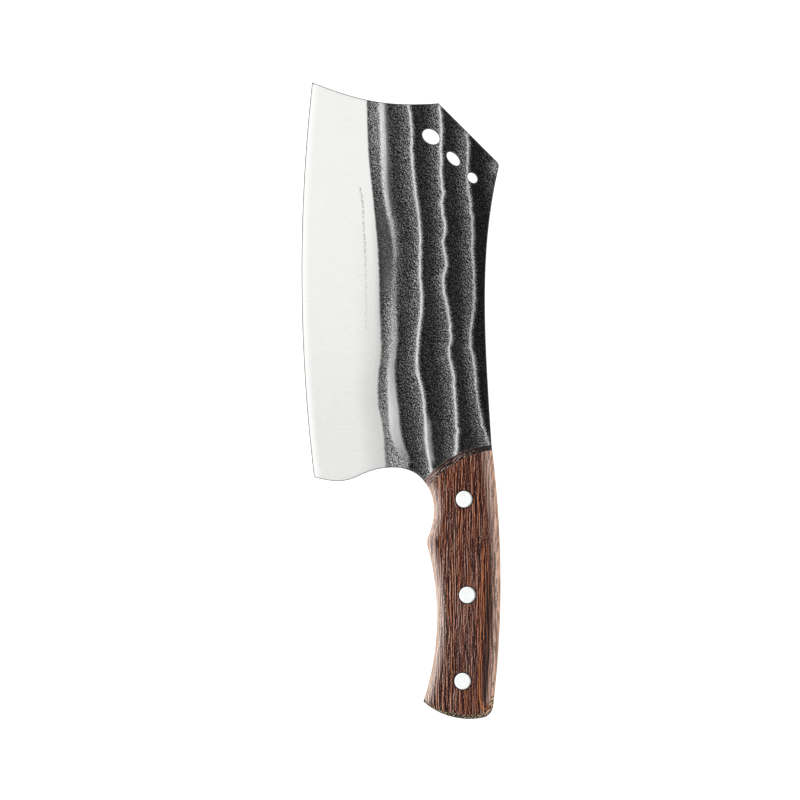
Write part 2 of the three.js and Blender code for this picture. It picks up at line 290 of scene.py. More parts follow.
class Face:
    """One forged and ground face of the blade: how thick it is, and how bright at each point, from its
    polish and from painted light and shade.
    """

    def __init__(self, seed):
        self.jag = [Ripple(seed + i, 5.5) for i in range(len(CRESTS))]
        self.swell = Ripple(seed + 10, 22)
        self.dents = Ripple(seed + 11, 3.2)

    def hollows(self, points):
        """How deep the forged hollows are and how bright the steel is, each from 0 to 1; the brightness is
        partly wear and polish, partly painted light on the slopes facing the light and painted highlights
        beside the crests.
        """
        x, y = points.T
        crests = crest_lines(y, self.jag)
        land_end = crests[0] + LAND_WIDTH(y)
        starts = [GRIND(y) - 0.01, land_end] + crests[1:]
        ends = crests + [np.full_like(y, BLADE_HIGH[0])]
        over_land = np.clip((x - crests[0]) / LAND_WIDTH(y), 0, 1)
        depth, tone = np.zeros(len(x)), LAND_TONE(y) * (1 - 0.12 * over_land)
        for i, (start, end) in enumerate(zip(starts, ends)):
            within = (x > start) & (x <= end)
            after, before = x - start, end - x
            last = i == len(starts) - 1
            across = after / LAST_WIDTH if last else after / np.maximum(end - start, 0.1)
            fall = np.sin(np.clip(across / HOLLOW_FLOOR, 0, 1) * math.pi / 2) ** 2
            rise = 1 - np.clip((across - HOLLOW_FLOOR) / (1 - HOLLOW_FLOOR), 0, 1) ** 1.6
            shape = np.where(across < HOLLOW_FLOOR, fall, rise)
            depth = np.where(within, shape * (FIRST_DEPTH if i == 0 else 1), depth)
            left_share = 0 if last else LAST_CREST if i == len(starts) - 2 else 1
            # The glow to the left of the next crest: its polish, then painted light on the slope that faces
            # the light.
            left_line = np.interp(before, *zip(*CREST_LEFT)) * left_share
            if i == 0:
                # The first strip grows lighter towards the first crest: painted light where it faces the
                # light.
                base = FIRST_TONE(y) + FIRST_RISE(y) * np.clip((across - 0.1) / 0.8, 0, 1)
                here = np.maximum(base, np.interp(before, *zip(*LAND_LEFT)) * LAND_TONE(y))
            else:
                low, high = HOLLOW_TONES[i - 1], SLOPE_TONES[i - 1]
                # The slope up to the next crest is lighter, partly polish and partly painted light where it
                # faces the light.
                here = low + (high - low) * smooth(across, 0.38, 1.0)
                # The glow that fades to the right of a crest: its polish, with a painted highlight.
                if i == 1:
                    edge = 0.88 * LAND_TONE(y)
                    fade = edge - (edge - low) * np.clip(after / LAND_FADE(y), 0, 1)
                else:
                    fade = np.interp(after, *zip(*CREST_RIGHT)) * (LAST_CREST if last else 1)
                here = np.maximum.reduce([here, fade, left_line])
            tone = np.where(within, here, tone)
        spur = np.hypot(x - SPUR[0], y - SPUR[1])
        worn = WORN_TONE * self.worn(x, y, crests[1])
        return depth, np.maximum.reduce([tone, SPUR_TONE * smooth(spur, 9, 1), worn])

    def worn(self, x, y, crest):
        """Where the second crest has been rubbed smooth, just ahead of the handle."""
        return smooth(np.abs(x - crest - 0.5), 3.4, 0.7) * smooth(y, -2, -13) * smooth(y, -34, -27)

    def grit(self, points):
        """How strongly the forged grain shows: less where the first crest and strip are worn smooth."""
        x, y = points.T
        crest, second = crest_lines(y, self.jag)[:2]
        land_end = crest + LAND_WIDTH(y)
        on_land = smooth(x, crest - 0.6, crest + 0.4) * smooth(x, land_end + 1.2, land_end)
        smooth_land = on_land * (0.75 * smooth(y, 32, 14) * smooth(y, -29, -20) + 0.2)
        smooth_land = np.maximum(smooth_land, 0.7 * self.worn(x, y, second))
        faded = smooth(x, crest - 0.2, crest + 0.6) * smooth(x, crest + 4.5, crest + 2.5) * smooth(y, 86, 96)
        smooth_land = np.maximum(smooth_land, 0.6 * faded)
        smooth_strip = 0.6 * smooth(x, crest, crest - 2) * smooth(y, 46, 56) * smooth(y, 98, 84)
        return 1 - np.maximum(smooth_land, smooth_strip)

    def half(self, points):
        """Half the blade's thickness on this side."""
        x, y = points.T
        e = edge_distance(points)
        shoulder = edge_distance(np.stack([GRIND(y), y], 1))
        hone = np.interp(e, [0, 0.3, HONE_WIDTH], [EDGE_HALF, EDGE_HALF + 0.12, HONE_HALF])
        ground = HONE_HALF + (PLATE_HALF - HONE_HALF) * (e - HONE_WIDTH) / (shoulder - HONE_WIDTH)
        depth, _ = self.hollows(points)
        forged = smooth(x - GRIND(y), 0, 3)
        rough = forged * (0.05 * self.swell(points) - 0.05 + 0.025 * self.dents(points))
        flat = PLATE_HALF - HOLLOW * depth * (1 + 0.25 * self.swell(points)) + rough
        return np.where(e < HONE_WIDTH, hone, np.where(e < shoulder, ground, flat))


# -------- meshes from plan shapes


def distance_to(points, line, closed=False):
    """Distance from each point to the nearest part of a line of points."""
    if closed:
        line = np.concatenate([line, line[:1]])
    best = np.full(len(points), np.inf)
    for start, span in zip(line[:-1], np.diff(line, axis=0)):
        gap = points - start
        t = np.clip(gap @ span / (span @ span), 0, 1)
        np.minimum(best, np.hypot(gap[:, 0] - t * span[0], gap[:, 1] - t * span[1]), out=best)
    return best


def inside(points, loop):
    x, y = points.T
    result = np.zeros(len(points), bool)
    for (x0, y0), (x1, y1) in zip(loop, np.roll(loop, -1, axis=0)):
        if y0 != y1:
            result ^= ((y0 > y) != (y1 > y)) & (x < x0 + (y - y0) * (x1 - x0) / (y1 - y0))
    return result


def triangulate(loops, points):
    """Triangles inside the first loop and outside the others, with corners at all the points."""
    corners, edges = [], []
    for loop in loops:
        first = len(corners)
        corners.extend(loop)
        edges.extend((first + i, first + (i + 1) % len(loop)) for i in range(len(loop)))
    corners.extend(points)
    found = delaunay_2d_cdt([Vector(c) for c in corners], edges, [], 0, 1e-5, False)
    flat = np.array([v[:] for v in found[0]])
    triangles = np.array(found[2])
    a, b, c = (flat[triangles[:, i]] for i in range(3))
    turn = (b - a)[:, 0] * (c - a)[:, 1] - (b - a)[:, 1] * (c - a)[:, 0]
    triangles = np.where((turn < 0)[:, None], triangles[:, ::-1], triangles)
    centres = (a + b + c) / 3
    keep = inside(centres, loops[0]) & (np.abs(turn) > 1e-9)
    for hole in loops[1:]:
        keep &= ~inside(centres, hole)
    triangles = triangles[keep]
    used, numbers = np.unique(triangles, return_inverse=True)
    return flat[used], numbers.reshape(-1, 3)


def rim_edges(triangles):
    """The directed edges on the boundary of a sheet of triangles."""
    edges = np.concatenate([triangles[:, [0, 1]], triangles[:, [1, 2]], triangles[:, [2, 0]]])
    forward = {tuple(e) for e in edges.tolist()}
    return [(a, b) for a, b in forward if (b, a) not in forward]


def make_object(name, corners, faces, attributes=None):
    """A mesh object from corners in millimetres, whose attributes are lists of one number per corner."""
    mesh = bpy.data.meshes.new(name)
    mesh.from_pydata((np.asarray(corners) * MM).tolist(), [], faces)
    for key, values in (attributes or {}).items():
        mesh.attributes.new(key, "FLOAT", "POINT").data.foreach_set("value", np.asarray(values, np.float32))
    mesh.validate()
    mesh.update()
    made = bpy.data.objects.new(name, mesh)
    bpy.context.scene.collection.objects.link(made)
    return made


def shade(made, sharp_degrees):
    """Smooth shading, with edges kept sharp where the faces turn more than the angle."""
    made.data.polygons.foreach_set("use_smooth", np.ones(len(made.data.polygons), bool))
    made.data.set_sharp_from_angle(angle=math.radians(sharp_degrees))


def slab(name, flat, triangles, top, bottom, attributes=None):
    """A closed body over a sheet of triangles, between two heights: numbers, or one for each corner."""
    count = len(flat)
    corners = np.concatenate([np.column_stack([flat, np.broadcast_to(z, count)]) for z in (top, bottom)])
    faces = triangles.tolist() + (triangles[:, ::-1] + count).tolist()
    faces += [(b, a, a + count, b + count) for a, b in rim_edges(triangles)]
    doubled = {key: np.concatenate([values, values]) for key, values in (attributes or {}).items()}
    return make_object(name, corners, faces, doubled)


# -------- the blade

FINE = 0.55  # spacing of the forged face's points
COARSE = 2.2  # and of the flat ground face's


def blade_points(outline, holes, front):
    """Points that follow the crests, so that no triangle crosses one."""
    rows = np.arange(-42, 151, FINE)
    lines = crest_lines(rows, Face(FACE_SEED).jag)
    columns = [GRIND(rows), lines[0], lines[0] + LAND_WIDTH(rows)] + lines[1:]
    spine = np.full_like(rows, BLADE_HIGH[0])
    columns.append(np.maximum(spine, columns[-1] + 2))
    points = []
    for left, right in zip(columns, columns[1:]):
        count = math.ceil((right - left).max() / FINE)
        share = np.linspace(0, 1, count, endpoint=False)
        across = left[:, None] + (right - left)[:, None] * share
        points.append(np.stack([across, np.repeat(rows[:, None], count, 1)], 2).reshape(-1, 2))
    coarse_rows = np.arange(-42, 151, COARSE)
    grind = GRIND(coarse_rows)
    for y, x_end in zip(coarse_rows, grind):
        xs = np.concatenate([np.arange(-45, x_end - COARSE, COARSE), x_end - np.array([0.4, 1.0])])
        points.append(np.stack([xs, np.full_like(xs, y)], 1))
    pit_rows = np.arange(32, 101, 0.7)
    pit_line = through(PIT_LINE)(pit_rows)
    points += [np.stack([pit_line + shift, pit_rows], 1) for shift in (-0.9, -0.5, -0.2, 0, 0.2, 0.5, 0.9)]
    points = np.concatenate(points)
    keep = inside(points, outline) & (distance_to(points, outline, True) > 0.6)
    for hole in holes:
        keep &= ~inside(points, hole) & (distance_to(points, hole, True) > 0.45)
    behind = inside(points, np.concatenate([front, handle_line(2.0)]))
    keep &= ~behind | (distance_to(points, front) < 1.5)
    return points[keep]


def inset(loop, distance):
    """The points of a loop that runs anticlockwise, moved inwards, without those that would cross."""
    along = np.roll(loop, -1, axis=0) - np.roll(loop, 1, axis=0)
    along /= np.hypot(*along.T)[:, None]
    moved = loop + np.stack([-along[:, 1], along[:, 0]], 1) * distance
    kept = inside(moved, loop) & (distance_to(moved, loop, True) > 0.93 * distance)
    return moved[kept]


def make_blade():
    handle = handle_line(1.2)
    blade = blade_line(0.6)
    outline = np.concatenate([handle, blade])
    front = front_line(0.8)
    holes = [ellipse(*hole, count=48) for hole in CORNER_HOLES]
    tang_holes = [circle(c, HEAD_RADIUS * 0.65, 32) for c in RIVETS]
    points = blade_points(outline, holes + tang_holes, front)
    eased = [inset(outline, 0.12), inset(outline, RIM)]
    for distance in (1.0, HONE_WIDTH, 3.0):
        ring = inset(outline, distance)
        eased.append(ring[np.abs(edge_distance(ring) - distance) < 0.02])
    eased += [grown(hole, 0.15) for hole in holes]
    flat, triangles = triangulate([outline] + holes + tang_holes, np.concatenate([points] + eased))

    tang = distance_to(flat, front)
    tang[inside(flat, np.concatenate([front, handle])) | (distance_to(flat, handle) < 1e-3)] = 0
    open_steel = smooth(tang, 0, 1.2)
    rim = np.minimum(distance_to(flat, blade_line(0.6)), 9)
    for hole in holes:
        rim = np.minimum(rim, distance_to(flat, hole, True))
    face = Face(FACE_SEED)
    half = face.half(flat)
    ground = flat[:, 0] - GRIND(flat[:, 1])
    half = PLATE_HALF + (half - PLATE_HALF) * np.where(ground > 0, open_steel, 1)
    ease = np.minimum(RIM, half * 0.5)
    t = np.clip(1 - rim / np.maximum(ease, 1e-6), 0, 1)
    half = half - ease * (1 - np.sqrt(1 - t * t)) * (tang > 0)
    pit_rows = np.arange(33, 101.0)
    pit_line = np.stack([through(PIT_LINE)(pit_rows), pit_rows], 1)
    attributes = {
        "ground": ground,
        "tone": np.where(tang > 0, face.hollows(flat)[1], TANG_TONE),
        "grit": np.where(tang > 0, face.grit(flat), 0),
        "rim": rim,
        "edge": edge_distance(flat),
        "pits": distance_to(flat, pit_line),
        "along": flat[:, 1],
    }
    made = slab("blade", flat, triangles, MIDDLE + half, MIDDLE - half, attributes)
    shade(made, 35)
    return made


def grown(loop, distance):
    """The points of a convex loop moved away from its middle."""
    middle = loop.mean(0)
    away = loop - middle
    return loop + away / np.hypot(*away.T)[:, None] * distance


# -------- the scales

SIDE_WIDTH = 4.4  # how far the round long edges reach in
SIDE_HEIGHT = 5.6  # and how far they reach down
BUTT_WIDTH = 2.4  # the same two for the round edge of the butt
BUTT_HEIGHT = 3.6
BUTT_START = -141.0  # the outline below this y is the butt's
FRONT_STEEP = 1.7  # the steep lower part of the front, in plan
FRONT_CHAMFER = 2.0  # and its chamfered upper part
FRONT_CHAMFER_HEIGHT = 1.7
FINE_LINE = 0.8  # spacing of points along a scale's outline
SCALE_GRID = 1.1  # and over its face

# A black vein and an orange one near the back of the wood.
DARK_VEIN = bezier((41.6, -72), (41.6, -95), (40.6, -120), (39.2, -142), step=0.8)
BRIGHT_VEIN = np.concatenate([
    bezier((37.7, -98), (37.6, -118), (36.2, -139), (38.0, -144), step=0.8),
    bezier((38.0, -144), (39.2, -147.2), (41.8, -145.6), (42.8, -138.5), step=0.8),
])


def quarter(distance, width, height):
    """How far a round edge lies below the flat, at a distance in from the outline."""
    t = np.clip(1 - distance / width, 0, 1)
    return height * (1 - np.sqrt(1 - t * t))


def handle_parts():
    """The parts of the handle's outline at the palm, the butt and the back."""
    handle = handle_line(FINE_LINE)
    butt = handle[:, 1] < BUTT_START
    back_start = len(butt) - np.argmax(butt[::-1]) - 1
    return handle[: np.argmax(butt)], handle[butt], handle[back_start:]


def narrowing(x):
    """How much of its full width the front facet has: it narrows towards the back of the handle."""
    return 1 - 0.33 * smooth(x, 15, 40)


def scale_outline():
    return np.concatenate([handle_line(FINE_LINE), front_line(FINE_LINE)])


def scale_drop(flat, palm, butt, back):
    """How far a scale's surface lies below its outer face."""
    front = distance_to(flat, front_line(FINE_LINE))
    width = narrowing(flat[:, 0])
    steep, chamfer = FRONT_STEEP * width, FRONT_CHAMFER * width
    low = SCALE_HALF - SCALE_SEAT - 0.15
    drop = np.interp(front / steep, [0, 1], [low, FRONT_CHAMFER_HEIGHT])
    upper = FRONT_CHAMFER_HEIGHT * np.clip(1 - (front - steep) / chamfer, 0, 1)
    drop = np.where(front < steep, drop, upper)
    drop = np.maximum(drop, quarter(np.minimum(palm, back), SIDE_WIDTH, SIDE_HEIGHT))
    return np.maximum(drop, quarter(butt, BUTT_WIDTH, BUTT_HEIGHT))


def make_scale(name, side):
    """A scale on the left (+1) or right (-1) side."""
    outline = scale_outline()
    holes = [circle(c, HEAD_RADIUS + 0.06) for c in RIVETS]
    rings = [inset(outline, d) for d in (0.1, 0.3, 0.6, 1.0, 1.5, 2.1, 2.8, 3.5, 4.4)]
    rings += [grown(hole, 0.12) for hole in holes]
    xs, ys = np.arange(10, 48, SCALE_GRID), np.arange(-151, -20, SCALE_GRID)
    grid = np.stack(np.meshgrid(xs, ys), 2).reshape(-1, 2)
    keep = inside(grid, outline) & (distance_to(grid, outline, True) > 4.8)
    for hole in holes:
        keep &= ~inside(grid, hole) & (distance_to(grid, hole, True) > 0.6)
    facet = [inset_line(front_line(FINE_LINE), d) for d in (FRONT_STEEP, FRONT_STEEP + FRONT_CHAMFER)]
    facet = [f[inside(f, outline)] for f in facet]
    grid = grid[keep]
    grid = grid[(distance_to(grid, DARK_VEIN) > 0.7) & (distance_to(grid, BRIGHT_VEIN) > 0.7)]
    veins = [vein + (shift, 0) for vein in (DARK_VEIN, BRIGHT_VEIN) for shift in (-0.5, 0, 0.5)]
    flat, triangles = triangulate([outline] + holes, np.concatenate([grid] + rings + facet + veins))
    palm, butt, back = (distance_to(flat, part) for part in handle_parts())
    around = np.minimum.reduce([distance_to(flat, hole, True) for hole in holes])
    countersink = 0.08 * np.clip(1 - around / 0.12, 0, 1)
    outer = SCALE_HALF - (scale_drop(flat, palm, butt, back) + countersink)
    attributes = {
        "rivet": np.minimum(around, 5),
        "palm": palm,
        "back": back,
        "butt": butt,
        "front": distance_to(flat, front_line(FINE_LINE)) / narrowing(flat[:, 0]),
        "dark_vein": distance_to(flat, DARK_VEIN),
        "bright_vein": distance_to(flat, BRIGHT_VEIN),
    }
    top, bottom = (outer, SCALE_SEAT) if side > 0 else (-SCALE_SEAT, -outer)
    made = slab(name, flat, triangles, MIDDLE + top, MIDDLE + bottom, attributes)
    shade(made, 28)
    return made


def inset_line(line, distance):
    """An open line moved to its left; the front line's left is the handle's side."""
    along = np.gradient(line, axis=0)
    along /= np.hypot(*along.T)[:, None]
    return line + np.stack([-along[:, 1], along[:, 0]], 1) * (distance * narrowing(line[:, 0]))[:, None]


def make_epoxy(name, node):
    low, high = box_mm(node)
    outline = scale_outline()
    holes = [circle(c, HEAD_RADIUS * 0.65, 32) for c in RIVETS]
    flat, triangles = triangulate([outline] + holes, inset(outline, 1.0))
    made = slab(name, flat, triangles, high[2], low[2])
    shade(made, 30)
    return made


# -------- the rivets


def turned(name, centre, profile, count=96):
    """A solid of revolution from a profile of (radius, height) pairs that starts and ends on the axis."""
    turns = np.linspace(0, math.tau, count, endpoint=False)
    corners, rings = [], []
    for radius, height in profile:
        if radius == 0:
            rings.append([len(corners)] * count)
            corners.append((centre[0], centre[1], height))
        else:
            rings.append(range(len(corners), len(corners) + count))
            corners.extend((centre[0] + radius * math.cos(t), centre[1] + radius * math.sin(t), height)
                           for t in turns)
    faces = []
    for lower, upper in zip(rings, rings[1:]):
        for i in range(count):
            j = (i + 1) % count
            ring = [lower[i], lower[j], upper[j], upper[i]]
            faces.append([c for k, c in enumerate(ring) if c not in ring[:k]])
    radii = [math.dist(c[:2], centre) for c in corners]
    made = make_object(name, corners, faces, {"radius": radii})
    shade(made, 30)
    return made


def head_profile(face, inwards):
    """A rivet head's outer face, from the axis to the rim, and its side down to the shank."""
    crown, ease = 0.04, 0.22
    rows = [(0, face)]
    rows += [(HEAD_RADIUS * t, face - inwards * crown * t * t) for t in (0.3, 0.55, 0.75, 0.88)]
    for t in np.linspace(0, math.pi / 2, 5):
        radius = HEAD_RADIUS - ease + ease * math.sin(t)
        rows.append((radius, face + inwards * (crown + ease * (1 - math.cos(t)))))
    return rows


def make_rivet(name, centre):
    male_low, male_high = box_mm(name + "_rivet_male")
    female_low, female_high = box_mm(name + "_rivet_female")
    head, tube, bore, shank = 2.0, 2.5, 1.6, 1.55  # the head's thickness, then radii
    top, bottom = male_high[2], female_low[2]
    bore_end = bottom + 3
    male = head_profile(top, -1) + [(HEAD_RADIUS, top - head), (shank, top - head), (shank, male_low[2]),
                                    (0, male_low[2])]
    female = head_profile(bottom, 1) + [(HEAD_RADIUS, bottom + head), (tube, bottom + head),
                                        (tube, female_high[2]), (bore, female_high[2]),
                                        (bore, bore_end), (0, bore_end)]
    pieces = [turned(name + "_male", centre, male[::-1]), turned(name + "_female", centre, female)]
    return list(zip(pieces, (name + "_rivet_male", name + "_rivet_female")))


# -------- materials


class Nodes:
    """A node tree that is written as expressions: each method adds a node and returns its output."""

    def __init__(self, tree):
        self.tree = tree

    def feed(self, socket, value):
        if isinstance(value, bpy.types.NodeSocket):
            self.tree.links.new(value, socket)
        else:
            socket.default_value = value

    def add(self, kind, inputs=None, output=0, **settings):
        made = self.tree.nodes.new(kind)
        for key, value in settings.items():
            setattr(made, key, value)
        for key, value in (inputs or {}).items():
            self.feed(made.inputs[key], value)
        return made.outputs[output]

    def attribute(self, name):
        return self.add("ShaderNodeAttribute", attribute_name=name, output="Fac")

    def vector(self, operation, a, b):
        return self.add("ShaderNodeVectorMath", {0: a, 1: b}, operation=operation)

    def place(self, scale, turn=(0, 0, 0)):
        """Object coordinates in millimetres, turned and scaled."""
        where = self.add("ShaderNodeTexCoord", output="Object")
        inputs = {"Vector": where, "Rotation": turn}
        turned_by = self.add("ShaderNodeVectorRotate", inputs, rotation_type="EULER_XYZ")
        return self.vector("MULTIPLY", turned_by, [s / MM for s in scale])

    def axis(self, letter, scale=1.0, turn=(0, 0, 0)):
        """One of the coordinates that place() gives."""
        return self.add("ShaderNodeSeparateXYZ", {0: self.place([scale] * 3, turn)}, output=letter)

    def noise(self, vector, detail=2.0, roughness=0.5, output="Fac"):
        inputs = {"Vector": vector, "Scale": 1.0, "Detail": detail, "Roughness": roughness}
        return self.add("ShaderNodeTexNoise", inputs, output=output)

    def cells(self, scale, output):
        inputs = {"Vector": self.place([scale] * 3), "Scale": 1.0}
        return self.add("ShaderNodeTexVoronoi", inputs, output=output)

    def math(self, operation, a, b=0.0):
        return self.add("ShaderNodeMath", {0: a, 1: b}, operation=operation)

    def plus(self, *terms):
        return functools.reduce(lambda a, b: self.math("ADD", a, b), terms)

    def minus(self, a, b):
        return self.math("SUBTRACT", a, b)

    def times(self, *terms):
        return functools.reduce(lambda a, b: self.math("MULTIPLY", a, b), terms)

    def clamped(self, value):
        return self.add("ShaderNodeClamp", {"Value": value, "Min": 0.0, "Max": 1.0})

    def swing(self, value, amount, middle=0.5):
        """How far a value is from its middle, times an amount."""
        return self.times(self.minus(value, middle), amount)

    def remap(self, value, low, high, to_low=0.0, to_high=1.0, kind="SMOOTHSTEP"):
        inputs = {"Value": value, "From Min": low, "From Max": high, "To Min": to_low, "To Max": to_high}
        return self.add("ShaderNodeMapRange", inputs, interpolation_type=kind)

    def linear(self, value, low, high, to_low=0.0, to_high=1.0):
        return self.remap(value, low, high, to_low, to_high, "LINEAR")

    def between(self, factor, a, b):
        """A number between a and b."""
        return self.add("ShaderNodeMix", {0: factor, 2: a, 3: b})

    def mix(self, factor, a, b):
        """A colour between a and b."""
        made = self.tree.nodes.new("ShaderNodeMix")
        made.data_type = "RGBA"
        for key, value in ((0, factor), (6, a), (7, b)):
            self.feed(made.inputs[key], (*value, 1) if isinstance(value, tuple) else value)
        return made.outputs[2]

    def ramp(self, value, stops):
        made = self.tree.nodes.new("ShaderNodeValToRGB")
        elements = made.color_ramp.elements
        while len(elements) < len(stops):
            elements.new(0.5)
        for element, (position, colour) in zip(elements, stops):
            element.position = position
            element.color = (*colour, 1)
        self.feed(made.inputs[0], value)
        return made.outputs[0]

    def bump(self, height, distance_mm, strength=1.0, normal=None):
        inputs = {"Height": height, "Distance": distance_mm * MM, "Strength": strength}
        if normal is not None:
            inputs["Normal"] = normal
        return self.add("ShaderNodeBump", inputs)


def new_material(name, constants):
    made = bpy.data.materials.new(name)
    made.use_nodes = True
    shader = made.node_tree.nodes["Principled BSDF"]
    for key, value in constants.items():
        shader.inputs[key].default_value = value
    return made, Nodes(made.node_tree), shader


def drive(nodes, shader, **sockets):
    for key, value in sockets.items():
        nodes.feed(shader.inputs[key.replace("_", " ")], value)


# Steel. Scales are in cells or waves per millimetre, distances in millimetres.
SCALE_BLACK = (0.004, 0.004, 0.004)
WEAR_AND_HIGHLIGHT_STEEL = (1.0, 1.0, 0.99)
GROUND_STEEL = (0.735, 0.735, 0.72)
DULL_STEEL = (0.53, 0.53, 0.52)
HONED_STEEL = (0.8, 0.8, 0.795)
PIT_GREY = (0.22, 0.22, 0.22)
# The painted shade along the blade's eased rim.
RIM_SHADE_GREY = (0.12, 0.12, 0.12)
PEBBLES = 2.1
GRAIN_STEP = 0.65
BRIGHTEST = 0.86
GRIND_TURN = math.radians(9)


def forged_speck(n, cell):
    """Pebbles with a finer grain on them, from dark to light around a middle near one half."""
    at = n.place((1.75, 1.4, 1.4), (0.4, 0.3, 0.2))
    right = n.vector("ADD", at, (GRAIN_STEP, 0, 0))
    above = n.vector("ADD", at, (0, GRAIN_STEP, 0))
    around = n.plus(n.noise(right, detail=0), n.noise(above, detail=0))
    grain = n.minus(n.noise(at, detail=0), n.times(around, 0.5))
    grain = n.linear(n.plus(grain, 0.5), 0.3, 0.7, 0.0, 0.66)
    return n.plus(n.times(cell, 0.42), grain)


def forged_tone(n, speck, coarse):
    """Lightness of the forged skin and of the bare tang: its painted tone, broken up by the grain."""
    grit, tone = n.attribute("grit"), n.attribute("tone")
    spread = n.swing(speck, n.times(grit, n.remap(tone, 0.2, 0.75, 2.3, 0.5)), 0.54)
    patches = n.noise(n.place((0.07, 0.03, 0.07)), detail=2)
    uneven = n.plus(n.swing(coarse, 0.15), n.swing(patches, 0.3))
    tang_lines = n.swing(n.noise(n.place((3.0, 0.15, 6.0)), detail=2, roughness=0.6), 0.3)
    spread = n.plus(spread, n.between(n.remap(grit, 0.0, 0.2), tang_lines, uneven))
    return n.math("MINIMUM", n.clamped(n.times(tone, n.plus(spread, 1.0))), BRIGHTEST)


def ground_colour(n, lines, ground, along):
    """Nearly white satin steel, duller low down and near the handle, whiter along the edge."""
    low_down = n.remap(along, 95.0, 10.0)
    near_grind = n.times(n.remap(ground, -13.0, -2.0), low_down)
    near_handle = n.remap(along, 40.0, -25.0)
    last_bit = n.times(n.remap(ground, -3.4, -0.4), n.remap(along, 100.0, 70.0))
    dull = n.plus(n.times(near_grind, 0.6), n.times(near_handle, 0.2), n.times(low_down, 0.12),
                  n.times(last_bit, 0.5), n.swing(lines, 0.7))
    colour = n.mix(n.clamped(dull), GROUND_STEEL, DULL_STEEL)
    colour = n.mix(n.remap(n.attribute("edge"), 4.2, 0.8), colour, HONED_STEEL)
    pitted = n.noise(n.place((1.6, 1.3, 1.5), (0.3, 0.2, 0.5)), detail=0)
    dots = n.times(n.remap(n.attribute("pits"), 0.85, 0.2), n.remap(pitted, 0.44, 0.58),
                   n.linear(along, 40.0, 98.0, 0.2, 0.75))
    return n.mix(dots, colour, PIT_GREY)


def forged_share(n, speck, coarse, ground, along):
    """One on the forged skin, none on the ground face; the boundary is more ragged near the handle."""
    loose = n.remap(along, 90.0, 0.0, 0.35, 2.2)
    ragged = n.plus(ground, n.times(n.plus(n.swing(coarse, 1.6), n.swing(speck, 0.9)), loose))
    return n.remap(n.math("DIVIDE", ragged, n.math("MAXIMUM", loose, 0.8)), -0.6, 0.6)


def blade_steel():
    """Pebbled black scale in the hollows, worn to grey and bright steel at the crests, with painted light on
    the slopes and painted highlights beside the crests, then ground; the outline has painted shade.
    """
    made, n, shader = new_material("blade_steel", {"Metallic": 1.0})
    ground, along = n.attribute("ground"), n.attribute("along")
    cell = n.add("ShaderNodeSeparateColor", {0: n.cells(PEBBLES, "Color")}, output="Red")
    speck = forged_speck(n, cell)
    coarse = n.noise(n.place((0.5, 0.5, 0.5)), detail=3, roughness=0.6)
    lines = n.noise(n.place((0.25, 6.0, 1.0), (0, 0, GRIND_TURN)), detail=3, roughness=0.7)
    tone = forged_tone(n, speck, coarse)
    skin = forged_share(n, speck, coarse, ground, along)
    # Bright steel stands for the worn crests and also for the painted highlights and painted light on the
    # slopes.
    forged = n.mix(n.math("POWER", tone, 2.2), SCALE_BLACK, WEAR_AND_HIGHLIGHT_STEEL)
    colour = n.mix(skin, ground_colour(n, lines, ground, along), forged)
    # Painted shade along the eased rim of the blade and round its holes.
    outline = n.times(n.remap(n.attribute("rim"), 0.6, 0.25), 0.85)
    colour = n.mix(outline, colour, RIM_SHADE_GREY)

    rough = n.between(skin, n.linear(lines, 0.3, 0.7, 0.26, 0.36), n.linear(tone, 0.1, 0.8, 0.5, 0.34))
    pebbles = n.minus(n.times(cell, 0.5), n.cells(PEBBLES, "Distance"))
    pebbles = n.times(pebbles, skin, n.attribute("grit"))
    normal = n.bump(pebbles, 0.10, 0.35)
    normal = n.bump(n.times(lines, n.minus(1.0, skin)), 0.012, 0.5, normal)
    drive(n, shader, Base_Color=colour, Roughness=rough, Normal=normal)
    return made


# Wood: colours from the darkest to the lightest fibre, then what lies over them.
BROWN_FIBRES = [(0.27, (0.004, 0.002, 0.002)), (0.39, (0.026, 0.011, 0.01)), (0.5, (0.078, 0.034, 0.029)),
                (0.61, (0.2, 0.094, 0.075)), (0.73, (0.42, 0.25, 0.195))]
RED_FIBRES = [(0.27, (0.01, 0.003, 0.002)), (0.39, (0.045, 0.011, 0.007)), (0.5, (0.098, 0.027, 0.015)),
              (0.61, (0.225, 0.068, 0.033)), (0.73, (0.39, 0.15, 0.07))]
GLINT = (0.6, 0.5, 0.46)
WARM_FIBRE = (0.31, 0.095, 0.034)
VEIN_BLACK = (0.01, 0.008, 0.008)
VEIN_ORANGE = (0.45, 0.16, 0.045)
# Painted sheen on the rounded long edges, the painted shade beside the back one, and a tan line along the
# outline.
PALM_SHEEN = (0.68, 0.57, 0.51)
BACK_SHEEN = (0.64, 0.44, 0.36)
BACK_RIM_SHEEN = (0.46, 0.25, 0.15)
BACK_SHADE = (0.02, 0.017, 0.018)
OUTLINE_TAN = (0.36, 0.2, 0.095)
FRONT_SAWN = [(0.15, (0.010, 0.006, 0.005)), (0.45, (0.05, 0.026, 0.021)), (0.8, (0.31, 0.235, 0.205))]
LIP_SAWN = [(0.1, (0.012, 0.004, 0.003)), (0.45, (0.08, 0.026, 0.018)), (0.8, (0.3, 0.17, 0.13))]
BUTT_SAWN = [(0.1, (0.008, 0.005, 0.003)), (0.45, (0.09, 0.065, 0.035)), (0.8, (0.4, 0.33, 0.2))]
END_GRAIN = [(0.4, (0.012, 0.008, 0.006)), (0.55, (0.05, 0.03, 0.02)), (0.7, (0.14, 0.09, 0.055))]
FRONT_SHADE = (0.03, 0.014, 0.01)
